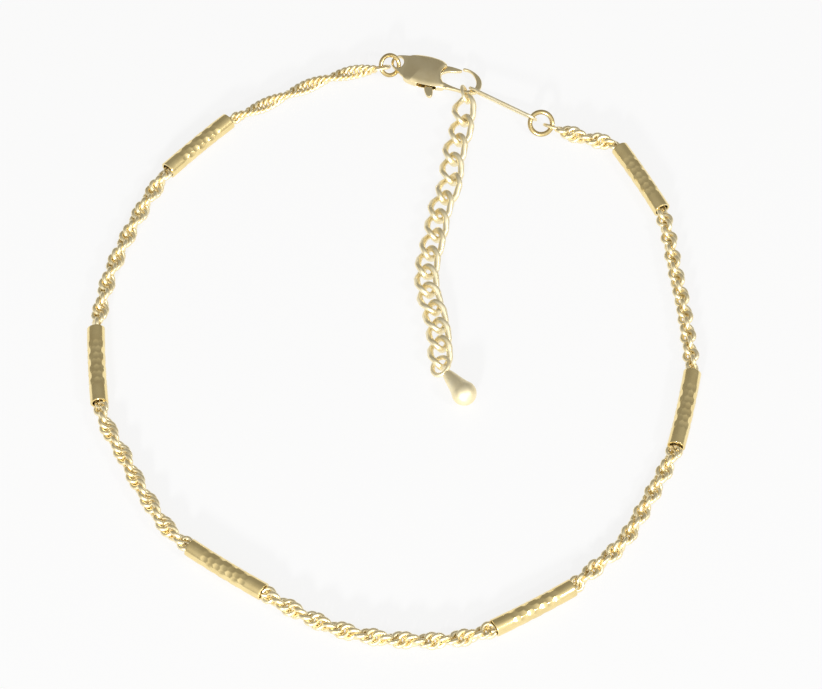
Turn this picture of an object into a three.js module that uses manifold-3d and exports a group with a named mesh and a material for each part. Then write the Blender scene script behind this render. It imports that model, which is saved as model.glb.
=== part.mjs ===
// A gold chain anklet: six short tube bars strung between seven twisted chains, a claw clasp with a
// sprung lever, an end ring, and an extension chain that hangs on the hook and ends in a drop.
// Millimetres, +Z up. The anklet lies on the plane z = 0, closed, with the clasp at the +Y side.
import * as THREE from "three";
import { mergeVertices } from "three/addons/utils/BufferGeometryUtils.js";
import Module from "manifold-3d";

const wasm = await Module();
wasm.setup();

// Clearances.
const RING_GAP = 0.15; // between wires that hang in each other
const FLOOR_GAP = 0.03; // under links that lie on the plane
const SLOT_GAP = 0.15; // on each side of the clasp's lever
const PIN_GAP = 0.12; // round the clasp's rivet
const FUSE = 0.06; // depth to which neighbouring chain links are melted together

// Bars.
const BAR_OD = 2.1;
const BAR_BORE = 1.6;
const BAR_LENGTH = 10.2;
const BAR_BOW = 0.1; // how far the middle stands outside the straight line between the ends
const BAR_PLAIN_END = 2.1; // smooth length at each end
const BAR_CUT = 0.05; // depth of the slanted facets
const BAR_SIDES = 10;
const BAR_FACET_ROWS = 6;
const BORE_SIDES = 8;

// Twisted chain between the bars.
const LINK_WIDTH = 2.0;
const LINK_WIRE = 0.5;
const LINK_PITCH = 0.805;
const LINK_TURN = 66; // degrees from each link to the next
const SLOW_WIDTH = 1.7; // the first chain is finer and twisted more slowly
const SLOW_WIRE = 0.4;
const SLOW_PITCH = 0.86;
const SLOW_TURN = 27;
const SLOW_OWN_TWIST = -45; // twist within one of its links
const NECK_WIDTH = 0.96; // the last link at a bar, which sits in the bar's bore
const NECK_WIRE = 0.38;
const NECK_DEPTH = 0.02; // how far its centre lies inside the bore's mouth
const END_LINK_WIDTH = 1.75; // the end links that hang on the rings
const END_LINK_WIRE = 0.42;
const END_LINK_LENGTH = 2.4;
const LINK_STEPS = 10;
const LINK_SIDES = 5;
const TUBE_SIDES = 8; // plain form of the chains whose links are too fine for this model
const TUBE_STEP = 4; // in mm
const TUBE_GAP = 0.4; // between such a tube and the bars

// Clasp, measured along its own axis from the rear of its eye to the outside of the hook.
const CLASP_LENGTH = 11.2;
const CLASP_WIDTH = 4.6; // across the body and the hook, without the thumb tab
const CLASP_THICK = 1.5;
const CLASP_BEVEL = 0.3;
const HOOK_THICK = 0.5;
const HOOK_RAISE = 0.2; // of the hook's middle over the body's
const EYE_THICK = 0.42;
const EYE_RAISE = 0.16;
const LEVER_THICK = 0.4;
const RIVET_OD = 0.7;
const CLASP_HEADING = -16;

// Rings.
const CLASP_RING_OD = 3.0;
const CLASP_RING_WIRE = 0.46;
const CLASP_RING_TILT = 47;
const CLASP_RING_TURN = 55; // of its own heading from the clasp's
const FIRST_CHAIN_AT = 165; // place of the first chain on it, in degrees
const END_RING_OD = 3.3;
const END_RING_WIRE = 0.5;
const END_RING_TILT = 36;
const CONNECTOR_AT = 150; // place of the connector on the end ring, in degrees
const LAST_CHAIN_AT = -20; // place of the last chain on it
const RING_STEPS = 14;
const RING_SIDES = 6;

// Connector link between the hook and the end ring.
const CONNECTOR_WIDTH = 2.1;
const CONNECTOR_WIRE = 0.34;
const CONNECTOR_ROLL = -65;
const CONNECTOR_GAP = 0.2; // between its ends and what they hang on

// Extension chain.
const EXTENDER_LINKS = 14; // besides the first one, which stands on the hook's arm
const EXTENDER_PITCH = 3.0; // from the middle of the first lying link to the next one's
const EXTENDER_CLOSER = 0.045; // how much closer each following pair lies
const EXTENDER_WIDTH = 3.0;
const EXTENDER_WIRE = 0.7;
const EXTENDER_TWIST = -104; // twist within one link
const EXTENDER_PLAY = 0.2; // free length at each joint
const FIRST_LINK_WIDTH = 2.25;
const FIRST_LINK_WIRE = 0.42;
const FIRST_LINK_ROLL = -66;
const FIRST_LINK_GAP = 0.26; // at both of its ends

// Drop.
const DROP_EYE_OD = 2.8;
const DROP_EYE_WIRE = 0.54;
const DROP_EYE_ROLL = 34; // against the plane
const DROP_EYE_DEPTH = 0.9; // from the last link's end to the middle of the eye's wire
const DROP_NECK = 1.3;
const DROP_BULB = 2.9;
const DROP_LENGTH = 6.3; // from the eye's centre to the bulb's end
const DROP_HEADING = -56;
const DROP_SIDES = 12;

// The route of the loop as the anklet lies, seen from above: the middle of each bar with its heading in
// degrees, the points that each chain passes between the bars, and the places of the end ring and of the
// clasp's rear. A few points, chosen by hand, in hundredths of the loop's width. The extension's points
// are in links' pitches from the hook's arm.
const LOOP_WIDTH = 71.5;
const ROUTE = {
  bars: [
    { x: -35.94, y: 38.74, heading: -134 },
    { x: -50.91, y: -5.03, heading: -85 },
    { x: -28.95, y: -42.52, heading: -34 },
    { x: 19.09, y: -49.3, heading: 30 },
    { x: 44.06, y: -13.29, heading: 77 },
    { x: 38.6, y: 31.89, heading: 118 },
  ],
  chains: [
    [[-10.49, 53.99], [-14.69, 52.59], [-19.02, 50.49], [-23.08, 48.25], [-27.13, 46.01]],
    [[-43.78, 28.25], [-46.01, 23.22], [-47.97, 18.04], [-49.79, 12.45], [-50.91, 6.15]],
    [[-48.95, -16.22], [-47.13, -19.72], [-45.45, -22.8], [-43.92, -26.01], [-42.24, -29.09],
      [-40.42, -32.17], [-38.46, -35.1]],
    [[-20.56, -48.25], [-17.76, -49.93], [-13.71, -52.03], [-9.51, -53.57], [-4.76, -54.55],
      [0, -54.97], [4.9, -54.97], [9.65, -54.13]],
    [[27.41, -43.64], [29.93, -41.26], [33.01, -38.18], [35.24, -34.69], [37.34, -30.77],
      [39.44, -26.71], [41.26, -23.08]],
    [[45.59, -3.64], [45.31, 0], [45.03, 3.64], [44.62, 7.41], [44.06, 11.05], [43.5, 14.97],
      [43.08, 18.74], [42.52, 22.38]],
    [[33.71, 39.23], [31.33, 39.86], [29.09, 40.49]],
  ],
  clasp: { x: -2.76, y: 55.8 },
  endRing: { x: 22.1, y: 43.36 },
  extender: [[-0.03, -0.9], [-0.11, -1.70], [-0.36, -2.62], [-0.53, -3.58], [-0.59, -4.49],
    [-0.89, -5.28], [-1.10, -6.07], [-1.21, -6.92], [-1.45, -7.90], [-1.57, -8.88], [-1.50, -9.74],
    [-1.27, -10.63], [-1.12, -11.51], [-1.06, -12.34], [-1.04, -13.08]],
};

const rad = THREE.MathUtils.degToRad;
const UP = new THREE.Vector3(0, 0, 1);
const gold = { metalness: 1, roughness: 0.28 };
const barGold = new THREE.MeshStandardMaterial({ color: 0xc0a263, ...gold });
const chainGold = new THREE.MeshStandardMaterial({ color: 0xe8cf92, ...gold });
const claspGold = new THREE.MeshStandardMaterial({ color: 0xb59a66, ...gold });

// Solids: a closed geometry as a solid, and a solid as a geometry.
function solidOf(geometry) {
  const bare = geometry.clone();
  bare.deleteAttribute("normal");
  bare.deleteAttribute("uv");
  const merged = mergeVertices(bare, 1e-5);
  return new wasm.Manifold(
    new wasm.Mesh({
      numProp: 3,
      vertProperties: merged.attributes.position.array,
      triVerts: new Uint32Array(merged.index.array),
    }),
  );
}

function geometryOf(solid) {
  const mesh = solid.getMesh();
  const geometry = new THREE.BufferGeometry();
  geometry.setAttribute("position", new THREE.BufferAttribute(mesh.vertProperties, mesh.numProp));
  geometry.setIndex(new THREE.BufferAttribute(mesh.triVerts, 1));
  geometry.computeVertexNormals();
  return geometry;
}

// Moves every vertex of a geometry by a function that changes the point it is given.
function reshape(geometry, change) {
  const position = geometry.attributes.position;
  const point = new THREE.Vector3();
  for (let i = 0; i < position.count; i += 1) {
    point.fromBufferAttribute(position, i);
    change(point);
    position.setXYZ(i, point.x, point.y, point.z);
  }
  return geometry;
}

// A wire link in its XY plane, long along X: length and width are outside sizes. The twist, in degrees,
// turns one end against the other about X.
function linkGeometry({ length, width, wire, twist = 0, steps = LINK_STEPS, sides = LINK_SIDES }) {
  const halfWidth = (width - wire) / 2;
  const halfLength = (length - wire) / 2;
  const geometry = new THREE.TorusGeometry(halfWidth, wire / 2, sides, steps);
  return reshape(geometry, (p) => {
    const side = Math.abs(p.x) < 1e-6 ? 0 : Math.sign(p.x);
    const stretch = halfLength - halfWidth;
    p.x += stretch > 0.3 ? stretch * side : stretch * Math.cos(Math.atan2(p.y, p.x));
    p.applyAxisAngle(new THREE.Vector3(1, 0, 0), (rad(twist) / 2) * (p.x / halfLength));
  });
}

// A frame at a point: X along the direction, Y turned by the roll from the horizontal.
function frameAt(point, direction, roll) {
  const along = direction.clone().normalize();
  const side = new THREE.Vector3().crossVectors(UP, along).normalize();
  const top = new THREE.Vector3().crossVectors(along, side);
  const across = side.clone().multiplyScalar(Math.cos(roll)).addScaledVector(top, Math.sin(roll));
  const normal = new THREE.Vector3().crossVectors(along, across);
  return new THREE.Matrix4().makeBasis(along, across, normal).setPosition(point);
}

// The roll that lets a link of this direction hang on a wire that runs along this tangent.
function rollOnWire(direction, tangent) {
  const along = direction.clone().normalize();
  const side = new THREE.Vector3().crossVectors(UP, along).normalize();
  const top = new THREE.Vector3().crossVectors(along, side);
  return Math.atan2(-tangent.dot(side), tangent.dot(top));
}

// A point of the route in millimetres, at this height.
function onLoop(x, y, height) {
  return new THREE.Vector3((x * LOOP_WIDTH) / 100, (y * LOOP_WIDTH) / 100, height);
}

const anklet = new THREE.Group();

function addMesh(name, geometry, material, frame = null) {
  const mesh = new THREE.Mesh(geometry, material);
  mesh.name = name;
  if (frame) {
    frame.decompose(mesh.position, mesh.quaternion, mesh.scale);
  }
  anklet.add(mesh);
  return mesh;
}

// Bars: lathe rows whose middle ones turn by half a side each, then the bow, then the bore.
function bowed(p) {
  const share = (2 * p.x) / BAR_LENGTH;
  p.y -= BAR_BOW * (1 - share * share);
}

function barSolid() {
  const half = BAR_LENGTH / 2;
  const facetLength = BAR_LENGTH - 2 * BAR_PLAIN_END;
  const rows = [{ at: -half, r: BAR_OD / 2, turn: 0 }];
  for (let i = 0; i <= BAR_FACET_ROWS; i += 1) {
    const inner = i > 0 && i < BAR_FACET_ROWS;
    rows.push({
      at: -facetLength / 2 + (facetLength * i) / BAR_FACET_ROWS,
      r: BAR_OD / 2 - (inner ? BAR_CUT : 0),
      turn: i,
    });
  }
  rows.push({ at: half, r: BAR_OD / 2, turn: BAR_FACET_ROWS });
  const profile = [
    new THREE.Vector2(0, -half),
    ...rows.map((row) => new THREE.Vector2(row.r, row.at)),
    new THREE.Vector2(0, half),
  ];
  const outer = new THREE.LatheGeometry(profile, BAR_SIDES);
  reshape(outer, (p) => {
    const row = rows.find((r) => Math.abs(r.at - p.y) < 1e-6);
    p.applyAxisAngle(new THREE.Vector3(0, 1, 0), (row.turn * Math.PI) / BAR_SIDES);
  });
  outer.rotateZ(-Math.PI / 2);
  const boreLength = BAR_LENGTH + 1;
  const bore = new THREE.CylinderGeometry(BAR_BORE / 2, BAR_BORE / 2, boreLength, BORE_SIDES, 4);
  bore.rotateZ(-Math.PI / 2);
  return solidOf(reshape(outer, bowed)).subtract(solidOf(reshape(bore, bowed)));
}

const barHeight = BAR_OD / 2;
const barGeometry = geometryOf(barSolid());
const bars = ROUTE.bars.map((bar, i) => {
  const heading = rad(bar.heading);
  const along = new THREE.Vector3(Math.cos(heading), Math.sin(heading), 0);
  const middle = onLoop(bar.x, bar.y, barHeight);
  addMesh(`bar_${i + 1}`, barGeometry, barGold, frameAt(middle, along, 0));
  // The bow slants the bar's ends: the chains leave along these directions.
  const slant = Math.atan((4 * BAR_BOW) / BAR_LENGTH);
  const into = along.clone().applyAxisAngle(UP, -slant);
  const out = along.clone().applyAxisAngle(UP, slant);
  return {
    start: middle.clone().addScaledVector(along, -BAR_LENGTH / 2),
    end: middle.clone().addScaledVector(along, BAR_LENGTH / 2),
    into,
    out,
  };
});

// Rings: a tilted circle. Its frame has X along the heading, and the side to the left is raised.
function ringFrame(centre, heading, tilt) {
  const along = new THREE.Vector3(Math.cos(rad(heading)), Math.sin(rad(heading)), 0);
  return frameAt(centre, along, rad(tilt));
}

function ringPoint(frame, radius, angle) {
  const a = rad(angle);
  return new THREE.Vector3(radius * Math.cos(a), radius * Math.sin(a), 0).applyMatrix4(frame);
}

function ringTangent(frame, angle) {
  const a = rad(angle);
  const local = new THREE.Vector3(-Math.sin(a), Math.cos(a), 0);
  return local.transformDirection(frame);
}

function ringHeight(od, wire, tilt) {
  return ((od - wire) / 2) * Math.sin(rad(tilt)) + wire / 2 + FLOOR_GAP;
}

function addRing(name, od, wire, frame) {
  const geometry = new THREE.TorusGeometry((od - wire) / 2, wire / 2, RING_SIDES, RING_STEPS);
  addMesh(name, geometry, chainGold, frame);
}

// Clasp. Outlines hold shares of the clasp's length and width, seen from above, rear eye at the left.
const claspX = (share) => share * CLASP_LENGTH;
const claspY = (share) => share * CLASP_WIDTH;
const BODY_OUTLINE = [
  [0.115, -0.31], [0.162, -0.4], [0.252, -0.44], [0.338, -0.45], [0.437, -0.445], [0.52, -0.42],
  [0.59, -0.4], [0.61, -0.28], [0.575, -0.225], [0.537, -0.08], [0.522, 0.11], [0.541, 0.25],
  [0.575, 0.345], [0.502, 0.473], [0.397, 0.507], [0.284, 0.503], [0.188, 0.468], [0.115, 0.384],
];
const HOOK_OUTLINE = [
  [0.54, -0.21], [0.54, -0.4], [0.62, -0.39], [0.728, -0.385], [0.8, -0.4], [0.88, -0.405],
  [0.951, -0.36], [0.985, -0.24], [0.995, -0.1], [0.985, 0.05], [0.96, 0.16], [0.919, 0.257],
  [0.857, 0.345], [0.79, 0.39], [0.735, 0.385], [0.735, 0.33], [0.75, 0.31], [0.8, 0.32],
  [0.84, 0.285], [0.875, 0.21], [0.91, 0.1], [0.93, -0.03], [0.93, -0.15], [0.91, -0.235],
  [0.86, -0.3], [0.807, -0.32], [0.72, -0.295], [0.63, -0.25], [0.57, -0.2],
];
const EYE_OUTLINE = [
  [-0.055, 0.12], [-0.045, 0], [-0.01, -0.11], [0.05, -0.19], [0.107, -0.3], [0.2, -0.38],
  [0.2, 0.44], [0.115, 0.39], [0.053, 0.36], [0, 0.32], [-0.04, 0.23],
];
const SLOT_OUTLINE = [
  [0.27, -0.8], [0.3, -0.4], [0.37, -0.1], [0.37, 0.2], [0.46, 0.8], [0.9, 0.8], [0.9, -0.085],
  [0.505, -0.085], [0.51, -0.4], [0.53, -0.8],
];
const LEVER_OUTLINE = [
  [0.385, 0.08], [0.4, -0.1], [0.387, -0.498], [0.409, -0.62], [0.454, -0.759], [0.498, -0.749],
  [0.506, -0.621], [0.478, -0.435], [0.485, -0.05], [0.53, 0.08], [0.585, 0.19], [0.655, 0.22],
  [0.71, 0.265], [0.715, 0.3], [0.71, 0.335], [0.645, 0.365], [0.58, 0.375], [0.5, 0.33],
  [0.44, 0.26],
];
const RIVET_AT = [0.44, 0.09];
const EYE_HOLE_AT = [0.033, 0.1];
const EYE_HOLE = { x: 1.2, y: 1.65 };
const HOOK_SEAT = [0.955, -0.24]; // middle of the hook's wire where the connector hangs
const HOOK_WIRE = 0.095 * CLASP_LENGTH; // its width there
const ARM_SEAT = [0.833, -0.356]; // middle of the hook's arm where the extension hangs
const ARM_WIRE = 0.09 * CLASP_WIDTH;

function outlineShape(outline) {
  return new THREE.Shape(outline.map(([x, y]) => new THREE.Vector2(claspX(x), claspY(y))));
}

// A plate of this outline, centred on this height, with its edges bevelled if that is asked for.
function plate(shape, thick, height, bevel = 0) {
  const geometry = new THREE.ExtrudeGeometry(shape, {
    depth: thick - 2 * bevel,
    bevelEnabled: bevel > 0,
    bevelThickness: bevel,
    bevelSize: bevel,
    bevelOffset: -bevel,
    bevelSegments: 1,
    curveSegments: 6,
  });
  return geometry.translate(0, 0, height - thick / 2 + bevel);
}

const claspMiddle = CLASP_THICK / 2;
const hookHeight = claspMiddle + HOOK_RAISE;
const eyeHeight = claspMiddle + EYE_RAISE;
const claspFrame = ringFrame(onLoop(ROUTE.clasp.x, ROUTE.clasp.y, 0), CLASP_HEADING, 0);
const rivet = new THREE.Vector3(claspX(RIVET_AT[0]), claspY(RIVET_AT[1]), claspMiddle);

function rivetCylinder(diameter, height) {
  const geometry = new THREE.CylinderGeometry(diameter / 2, diameter / 2, height, 12);
  return geometry.rotateX(Math.PI / 2).translate(rivet.x, rivet.y, rivet.z);
}

function claspBody() {
  const slotThick = LEVER_THICK + 2 * SLOT_GAP;
  const body = solidOf(plate(outlineShape(BODY_OUTLINE), CLASP_THICK, claspMiddle, CLASP_BEVEL));
  const slot = solidOf(plate(outlineShape(SLOT_OUTLINE), slotThick, claspMiddle));
  const hook = solidOf(plate(outlineShape(HOOK_OUTLINE), HOOK_THICK, hookHeight, HOOK_THICK * 0.25));
  const eye = solidOf(plate(outlineShape(EYE_OUTLINE), EYE_THICK, eyeHeight));
  const holeShape = new THREE.Shape();
  holeShape.absellipse(
    claspX(EYE_HOLE_AT[0]), claspY(EYE_HOLE_AT[1]), EYE_HOLE.x / 2, EYE_HOLE.y / 2, 0, 2 * Math.PI,
  );
  const hole = solidOf(plate(holeShape, CLASP_THICK + 1, claspMiddle));
  const pin = solidOf(rivetCylinder(RIVET_OD, CLASP_THICK - 0.1));
  return body.subtract(slot).add(pin).add(eye).subtract(hole).add(hook);
}

function claspLever() {
  const lever = solidOf(plate(outlineShape(LEVER_OUTLINE), LEVER_THICK, claspMiddle));
  return lever.subtract(solidOf(rivetCylinder(RIVET_OD + 2 * PIN_GAP, LEVER_THICK + 1)));
}

addMesh("clasp_body", geometryOf(claspBody()), claspGold, claspFrame);
addMesh("clasp_lever", geometryOf(claspLever()), claspGold, claspFrame);

// The clasp's ring stands in the eye's hole.
const claspRingRadius = (CLASP_RING_OD - CLASP_RING_WIRE) / 2;
const claspRingHeight = ringHeight(CLASP_RING_OD, CLASP_RING_WIRE, CLASP_RING_TILT);
const ringRise = claspRingRadius * Math.sin(rad(CLASP_RING_TILT));
const eyeAngle = -Math.asin((claspRingHeight - eyeHeight) / ringRise);
const ringToEye = new THREE.Vector3(
  claspRingRadius * Math.cos(eyeAngle),
  claspRingRadius * Math.sin(eyeAngle) * Math.cos(rad(CLASP_RING_TILT)),
  0,
).applyAxisAngle(UP, rad(CLASP_RING_TURN));
const claspRingCentre = new THREE.Vector3(claspX(EYE_HOLE_AT[0]), claspY(EYE_HOLE_AT[1]), claspRingHeight)
  .sub(ringToEye)
  .applyMatrix4(claspFrame);
const claspRingFrame = ringFrame(claspRingCentre, CLASP_HEADING + CLASP_RING_TURN, CLASP_RING_TILT);
addRing("clasp_ring", CLASP_RING_OD, CLASP_RING_WIRE, claspRingFrame);

const endRingRadius = (END_RING_OD - END_RING_WIRE) / 2;
const endRingHeight = ringHeight(END_RING_OD, END_RING_WIRE, END_RING_TILT);
const endRingCentre = onLoop(ROUTE.endRing.x, ROUTE.endRing.y, endRingHeight);
const endRingFrame = ringFrame(endRingCentre, 0, END_RING_TILT);
addRing("end_ring", END_RING_OD, END_RING_WIRE, endRingFrame);

// Connector link: one end in the hook, the other in the end ring.
const hookSeat = new THREE.Vector3(claspX(HOOK_SEAT[0]), claspY(HOOK_SEAT[1]), hookHeight);
hookSeat.applyMatrix4(claspFrame);
const ringSeat = ringPoint(endRingFrame, endRingRadius, CONNECTOR_AT);
const connectorWay = new THREE.Vector3().subVectors(ringSeat, hookSeat);
const connectorReach =
  connectorWay.length() + HOOK_WIRE / 2 + END_RING_WIRE / 2 + 2 * CONNECTOR_GAP + CONNECTOR_WIRE;
const connectorAlong = connectorWay.clone().normalize();
const connectorCentre = hookSeat
  .clone()
  .addScaledVector(connectorAlong, -HOOK_WIRE / 2 - CONNECTOR_GAP - CONNECTOR_WIRE / 2 + connectorReach / 2);
addMesh(
  "connector_link",
  linkGeometry({
    length: connectorReach + CONNECTOR_WIRE,
    width: CONNECTOR_WIDTH,
    wire: CONNECTOR_WIRE,
    steps: 14,
    sides: RING_SIDES,
  }),
  chainGold,
  frameAt(connectorCentre, connectorAlong, rad(CONNECTOR_ROLL)),
);

// Chains: links along a curve, each turned against the last and melted to it.
function chainSolid(curve, { width, wire, pitch, turn, twist, roll, starts, ends }) {
  const length = curve.getLength();
  const count = Math.round(length / pitch);
  const step = length / count;
  const reach = step + 0.81 * wire - FUSE;
  let all = null;
  for (let i = 0; i <= count; i += 1) {
    const share = i / count;
    const end = (i === 0 && starts) || (i === count && ends);
    const geometry = linkGeometry({
      length: end ? end.length : reach + wire,
      width: end ? end.width : width,
      wire: end ? end.wire : wire,
      twist: end ? 0 : twist,
    });
    const point = curve.getPointAt(share);
    const along = curve.getTangentAt(share);
    if (end) {
      point.addScaledVector(along, ((i === 0 ? -1 : 1) * (end.length - reach - wire)) / 2);
    }
    const turned = end && end.roll !== undefined ? end.roll : roll + rad(turn) * i;
    const link = solidOf(geometry.applyMatrix4(frameAt(point, along, turned)));
    all = all ? all.add(link) : link;
  }
  return geometryOf(all);
}

// The plain tube that stands for a chain, through the same points.
function tubeGeometry(curve, width) {
  const section = new THREE.Shape();
  for (let i = 0; i < TUBE_SIDES; i += 1) {
    const a = (2 * Math.PI * (i + 0.5)) / TUBE_SIDES;
    const place = i === 0 ? "moveTo" : "lineTo";
    section[place]((width / 2) * Math.cos(a), (width / 2) * Math.sin(a));
  }
  return new THREE.ExtrudeGeometry(section, {
    steps: Math.round(curve.getLength() / TUBE_STEP),
    bevelEnabled: false,
    extrudePath: curve,
  });
}

const chainHeight = LINK_WIDTH / 2 + FLOOR_GAP;
const neck = { length: LINK_PITCH + LINK_WIRE + NECK_WIRE, width: NECK_WIDTH, wire: NECK_WIRE };
const PLAIN_CHAINS = [2, 3, 4, 5]; // chains that are modelled as plain tubes here

function endLinkAt(frame, radius, wire, angle, along) {
  const seat = ringPoint(frame, radius, angle);
  const inward = wire / 2 + RING_GAP + END_LINK_WIRE;
  return {
    point: seat.clone().addScaledVector(along, -inward + END_LINK_LENGTH / 2),
    roll: rollOnWire(along, ringTangent(frame, angle)),
  };
}

function addChain(number) {
  const points = ROUTE.chains[number - 1].map(([x, y]) => onLoop(x, y, chainHeight));
  const before = bars[number - 2];
  const after = bars[number - 1];
  const plain = PLAIN_CHAINS.includes(number);
  const depth = plain ? -TUBE_GAP : NECK_DEPTH;
  const ends = {};
  if (before) {
    const mouth = before.end.clone().addScaledVector(before.out, -depth);
    points.unshift(mouth);
    ends.starts = neck;
  } else {
    const along = new THREE.Vector3().subVectors(points[0], claspRingCentre).setZ(0).normalize();
    const first = endLinkAt(claspRingFrame, claspRingRadius, CLASP_RING_WIRE, FIRST_CHAIN_AT, along);
    points.unshift(first.point);
    ends.starts = { ...first, length: END_LINK_LENGTH, width: END_LINK_WIDTH, wire: END_LINK_WIRE };
  }
  if (after) {
    points.push(after.start.clone().addScaledVector(after.into, depth));
    ends.ends = neck;
  } else {
    const last = points[points.length - 1];
    const back = new THREE.Vector3().subVectors(last, endRingCentre).setZ(0).normalize();
    const seat = endLinkAt(endRingFrame, endRingRadius, END_RING_WIRE, LAST_CHAIN_AT, back);
    points.push(seat.point);
    const roll = rollOnWire(back.clone().negate(), ringTangent(endRingFrame, LAST_CHAIN_AT));
    ends.ends = { length: END_LINK_LENGTH, width: END_LINK_WIDTH, wire: END_LINK_WIRE, roll };
  }
  const curve = new THREE.CatmullRomCurve3(points, false, "centripetal");
  curve.arcLengthDivisions = 400;
  if (plain) {
    addMesh(`chain_${number}`, tubeGeometry(curve, LINK_WIDTH), chainGold);
    return;
  }
  const slow = number === 1;
  const geometry = chainSolid(curve, {
    width: slow ? SLOW_WIDTH : LINK_WIDTH,
    wire: slow ? SLOW_WIRE : LINK_WIRE,
    pitch: slow ? SLOW_PITCH : LINK_PITCH,
    turn: slow ? SLOW_TURN : LINK_TURN,
    twist: slow ? SLOW_OWN_TWIST : 0,
    roll: slow ? ends.starts.roll : 0,
    ...ends,
  });
  addMesh(`chain_${number}`, geometry, chainGold);
}

for (let number = 1; number <= ROUTE.chains.length; number += 1) {
  addChain(number);
}

// Extension: the first link stands on the hook's arm, the others lie along their route, each twisted so
// that it passes over its neighbour on one side and under it on the other.
const armSeat = new THREE.Vector3(claspX(ARM_SEAT[0]), claspY(ARM_SEAT[1]), 0).applyMatrix4(claspFrame);
const extenderGeometry = linkGeometry({
  length: EXTENDER_PITCH + 2 * EXTENDER_WIRE + EXTENDER_PLAY,
  width: EXTENDER_WIDTH,
  wire: EXTENDER_WIRE,
  twist: EXTENDER_TWIST,
});
extenderGeometry.computeBoundingBox();
const extenderHeight = FLOOR_GAP - extenderGeometry.boundingBox.min.z;
const extenderReach = extenderGeometry.boundingBox.max.x - EXTENDER_WIRE / 2;
const extenderCurve = new THREE.CatmullRomCurve3(
  ROUTE.extender.map(
    ([x, y]) =>
      new THREE.Vector3(armSeat.x + x * EXTENDER_PITCH, armSeat.y + y * EXTENDER_PITCH, extenderHeight),
  ),
  false,
  "centripetal",
);
extenderCurve.arcLengthDivisions = 400;
const extenderTotal = extenderCurve.getLength();

// The share of the route at the middle of link i.
function extenderShare(i) {
  return (i * EXTENDER_PITCH - ((i * (i - 1)) / 2) * EXTENDER_CLOSER) / extenderTotal;
}

for (let i = 0; i < EXTENDER_LINKS; i += 1) {
  const share = extenderShare(i);
  const frame = frameAt(extenderCurve.getPointAt(share), extenderCurve.getTangentAt(share), 0);
  addMesh(`extender_link_${i + 2}`, extenderGeometry, chainGold, frame);
}

// The standing link reaches from over the arm to inside the end of the first lying link.
const lyingWay = extenderCurve.getTangentAt(0);
const lyingEnd = extenderCurve.getPointAt(0).addScaledVector(lyingWay, -extenderReach);
const firstWay = new THREE.Vector3().subVectors(lyingEnd, armSeat).setZ(0);
const firstStart = ARM_WIRE / 2 + FIRST_LINK_GAP + FIRST_LINK_WIRE;
const firstEnd = firstWay.length() + EXTENDER_WIRE / 2 + FIRST_LINK_GAP + FIRST_LINK_WIRE;
const firstCentre = armSeat.clone().addScaledVector(firstWay.normalize(), (firstEnd - firstStart) / 2);
firstCentre.z = ringHeight(FIRST_LINK_WIDTH, FIRST_LINK_WIRE, Math.abs(FIRST_LINK_ROLL));
const firstGeometry = linkGeometry({
  length: firstStart + firstEnd,
  width: FIRST_LINK_WIDTH,
  wire: FIRST_LINK_WIRE,
});
const firstFrame = frameAt(firstCentre, firstWay, rad(FIRST_LINK_ROLL));
addMesh("extender_link_1", firstGeometry, chainGold, firstFrame);

// Drop: a teardrop whose eye hangs in the last link.
const dropEyeRadius = (DROP_EYE_OD - DROP_EYE_WIRE) / 2;
const lastShare = extenderShare(EXTENDER_LINKS - 1);
const lastWay = extenderCurve.getTangentAt(lastShare);
const dropEyeCentre = extenderCurve
  .getPointAt(lastShare)
  .addScaledVector(lastWay, extenderReach - EXTENDER_WIRE / 2 - DROP_EYE_DEPTH + dropEyeRadius);
dropEyeCentre.z = ringHeight(DROP_EYE_OD, DROP_EYE_WIRE, DROP_EYE_ROLL);

function dropSolid() {
  const bulb = DROP_BULB / 2;
  const centre = DROP_LENGTH - bulb;
  const neck = DROP_NECK / 2;
  const profile = [
    [0, dropEyeRadius], [neck * 0.55, dropEyeRadius], [neck, dropEyeRadius + neck * 0.6],
    [bulb * 0.7, centre - bulb * 1.1], [bulb * 0.89, centre - bulb * 0.5],
  ].map(([r, x]) => new THREE.Vector2(r, x));
  for (const degrees of [0, 30, 60]) {
    const a = rad(degrees);
    profile.push(new THREE.Vector2(bulb * Math.cos(a), centre + bulb * Math.sin(a)));
  }
  profile.push(new THREE.Vector2(0, DROP_LENGTH));
  return solidOf(new THREE.LatheGeometry(profile, DROP_SIDES).rotateZ(-Math.PI / 2));
}

// The bulb lies on the plane, so the drop sinks or rises from its eye.
const bulbReach = DROP_LENGTH - DROP_BULB / 2;
const dropFlat = new THREE.Vector3(Math.cos(rad(DROP_HEADING)), Math.sin(rad(DROP_HEADING)), 0);
const dropFrame = frameAt(
  dropEyeCentre,
  dropFlat.setZ((DROP_BULB / 2 + FLOOR_GAP - dropEyeCentre.z) / bulbReach),
  0,
);
const eyeTurn = frameAt(dropEyeCentre, lastWay, rad(DROP_EYE_ROLL));
const dropEye = new THREE.TorusGeometry(dropEyeRadius, DROP_EYE_WIRE / 2, LINK_SIDES, RING_STEPS);
const wholeDrop = solidOf(dropEye.applyMatrix4(eyeTurn)).add(
  dropSolid().transform(dropFrame.elements),
);
addMesh("end_drop", geometryOf(wholeDrop), chainGold);

// The origin is below the middle of the whole, on the plane that it lies on.
const box = new THREE.Box3().setFromObject(anklet, true);
const middle = box.getCenter(new THREE.Vector3());
anklet.position.set(-middle.x, -middle.y, -box.min.z);

export default anklet;
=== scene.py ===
"""The looks of the gold chain anklet: fine links, cut bars, a rounded clasp and polished gold."""
import math

import bmesh
import bpy
import numpy as np
from mathutils import Matrix, Vector


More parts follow.
